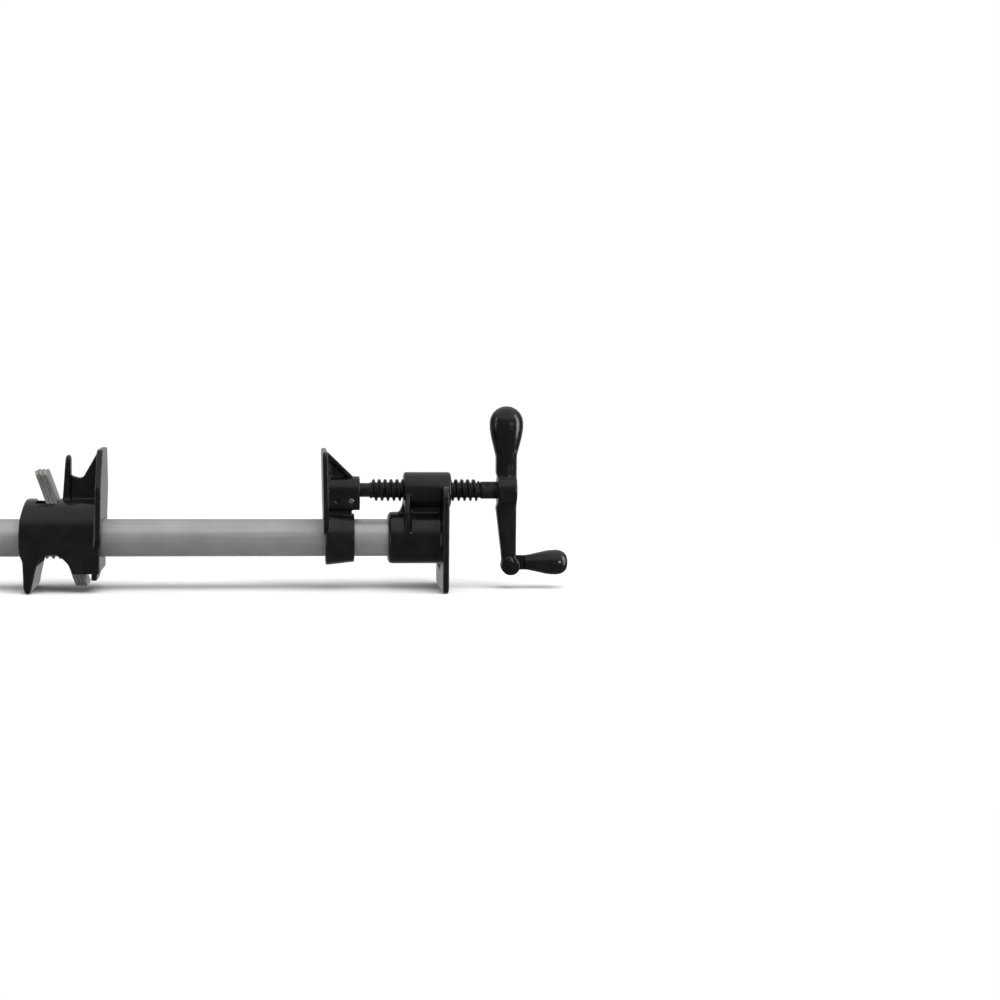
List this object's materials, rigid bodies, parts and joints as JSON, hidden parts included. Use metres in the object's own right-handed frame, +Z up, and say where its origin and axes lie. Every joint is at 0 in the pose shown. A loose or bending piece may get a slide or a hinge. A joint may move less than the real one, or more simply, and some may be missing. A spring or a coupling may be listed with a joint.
{
  "type": "pipe clamp",
  "caption": "Bar clamp on steel pipe: screw head with cranked handle and sliding front jaw at one end, clutch-locked sliding stop on the pipe.",
  "frame": {"origin": "middle of the bottom edge of the head's foot plate, which stands on the bench", "axes": "+X along the pipe toward the crank, +Z up, +Y away from the pictured side; Y = 0 is the plane of symmetry"},
  "size_m": [0.5496, 0.07, 0.1318],
  "materials": {
    "black_paint": "cast iron in gloss black paint",
    "black_oxide": "black oxide, lightly oiled",
    "pipe_steel": "drawn pipe, satin grey",
    "zinc_plate": "zinc plated",
    "pin_steel": "bare ground steel",
    "spring_steel": "zinc plated spring wire"
  },
  "bodies": {
    "head": {"pipe": "pipe_steel", "head_casting": "black_paint"},
    "front_jaw": {"front_jaw": "black_paint", "jaw_pin": "pin_steel"},
    "screw": {"spindle": "black_oxide", "crank": "black_paint", "grip_rivet": "black_paint"},
    "handle": {"handle_grip": "black_paint"},
    "tail_stop": {"tail_stop": "black_paint", "clutch_spring": "spring_steel"},
    "clutch_plate_1": {"clutch_plate_1": "zinc_plate"},
    "clutch_plate_2": {"clutch_plate_2": "zinc_plate"},
    "clutch_plate_3": {"clutch_plate_3": "zinc_plate"}
  },
  "joints": [
    {"name": "jaw_travel", "type": "slide", "parent": "head", "child": "front_jaw", "axis": [1, 0, 0], "range_m": [-0.0202, 0.0223]},
    {"name": "screw_turn", "type": "hinge", "parent": "front_jaw", "child": "screw", "pos_m": [-0.05245, 0, 0.0712], "axis": [1, 0, 0], "range_deg": [-1710, 1890]},
    {"name": "handle_fold", "type": "hinge", "parent": "screw", "child": "handle", "pos_m": [0.04685, 0, 0.0206], "axis": [0, 1, 0], "range_deg": [0, 90]},
    {"name": "tail_slide", "type": "slide", "parent": "head", "child": "tail_stop", "axis": [1, 0, 0], "range_m": [-0.145, 0.13]},
    {"name": "clutch_tilt_1", "type": "hinge", "parent": "tail_stop", "child": "clutch_plate_1", "pos_m": [-0.27207, 0, 0.0645], "axis": [0, 1, 0], "range_deg": [0, 14]},
    {"name": "clutch_tilt_2", "type": "hinge", "parent": "tail_stop", "child": "clutch_plate_2", "pos_m": [-0.27483, 0, 0.0645], "axis": [0, 1, 0], "range_deg": [0, 14]},
    {"name": "clutch_tilt_3", "type": "hinge", "parent": "tail_stop", "child": "clutch_plate_3", "pos_m": [-0.27758, 0, 0.0645], "axis": [0, 1, 0], "range_deg": [0, 14], "stiffness_Nm_per_rad": 0.15, "springref_deg": -20.05, "deforming": ["clutch_spring"]}
  ],
  "couplings": [
    {"joint": "jaw_travel", "follows": "screw_turn", "m_per_rad": 0.0006737},
    {"joint": "clutch_tilt_1", "follows": "clutch_tilt_3", "ratio": 1},
    {"joint": "clutch_tilt_2", "follows": "clutch_tilt_3", "ratio": 1}
  ]
}
